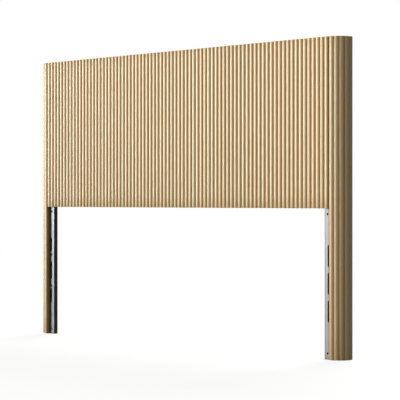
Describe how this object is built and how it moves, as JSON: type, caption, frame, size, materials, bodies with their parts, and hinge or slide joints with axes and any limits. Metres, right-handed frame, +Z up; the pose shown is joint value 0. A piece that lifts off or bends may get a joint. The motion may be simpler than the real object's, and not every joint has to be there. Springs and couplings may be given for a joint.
{
  "type": "headboard",
  "caption": "Freestanding queen headboard of upright half-round oak reeds between quarter-round reeded legs, with slotted steel brackets that bolt to a bed frame.",
  "frame": {"origin": "on the floor, under the middle of the headboard's width and depth", "axes": "+X along the board, to the right as seen from the bed; +Y from the bed to the wall; +Z up"},
  "size_m": [1.671, 0.0644, 1.2],
  "materials": {
    "oak_veneer": "clear matt lacquered light oak, upright grain",
    "oak_edge": "clear matt lacquered light oak",
    "pine": "planed softwood, unfinished",
    "plywood": "sanded birch plywood",
    "birch_dowel": "fluted birch dowel",
    "zinc_steel": "bright zinc-plated steel, satin",
    "black_steel": "black powder coat, fine texture",
    "bright_screw": "zinc-plated",
    "black_plastic": "moulded, matt",
    "felt": "brown felt"
  },
  "bodies": {
    "root": {"panel_reeds_1": "oak_veneer", "panel_reeds_2": "oak_veneer", "panel_reeds_3": "oak_veneer", "panel_reeds_4": "oak_veneer", "panel_reeds_5": "oak_veneer", "panel_reeds_6": "oak_veneer", "panel_reeds_7": "oak_veneer", "panel_face_board": "oak_veneer", "left_leg_reeds": "oak_veneer", "right_leg_reeds": "oak_veneer", "panel_top_rail": "oak_edge", "panel_bottom_rail": "oak_edge", "left_leg_shell": "oak_edge", "left_leg_side_board": "oak_edge", "left_leg_cap": "oak_edge", "right_leg_shell": "oak_edge", "right_leg_side_board": "oak_edge", "right_leg_cap": "oak_edge", "panel_center_stiles": "pine", "left_leg_post": "pine", "left_leg_foot_block": "pine", "left_panel_end_stile": "pine", "right_leg_post": "pine", "right_leg_foot_block": "pine", "right_panel_end_stile": "pine", "panel_back_board": "plywood", "left_leg_back_board": "plywood", "left_leg_ribs": "plywood", "right_leg_back_board": "plywood", "right_leg_ribs": "plywood", "left_dowels": "birch_dowel", "right_dowels": "birch_dowel", "left_slotted_plate": "zinc_steel", "right_slotted_plate": "zinc_steel", "left_bracket_channel": "black_steel", "right_bracket_channel": "black_steel", "left_bracket_bolts": "bright_screw", "left_weld_nuts": "bright_screw", "left_connector_bolts": "bright_screw", "left_barrel_nuts": "bright_screw", "right_bracket_bolts": "bright_screw", "right_weld_nuts": "bright_screw", "right_connector_bolts": "bright_screw", "right_barrel_nuts": "bright_screw", "left_channel_foot": "black_plastic", "right_channel_foot": "black_plastic", "left_leg_foot_pad": "felt", "right_leg_foot_pad": "felt"}
  },
  "joints": []
}
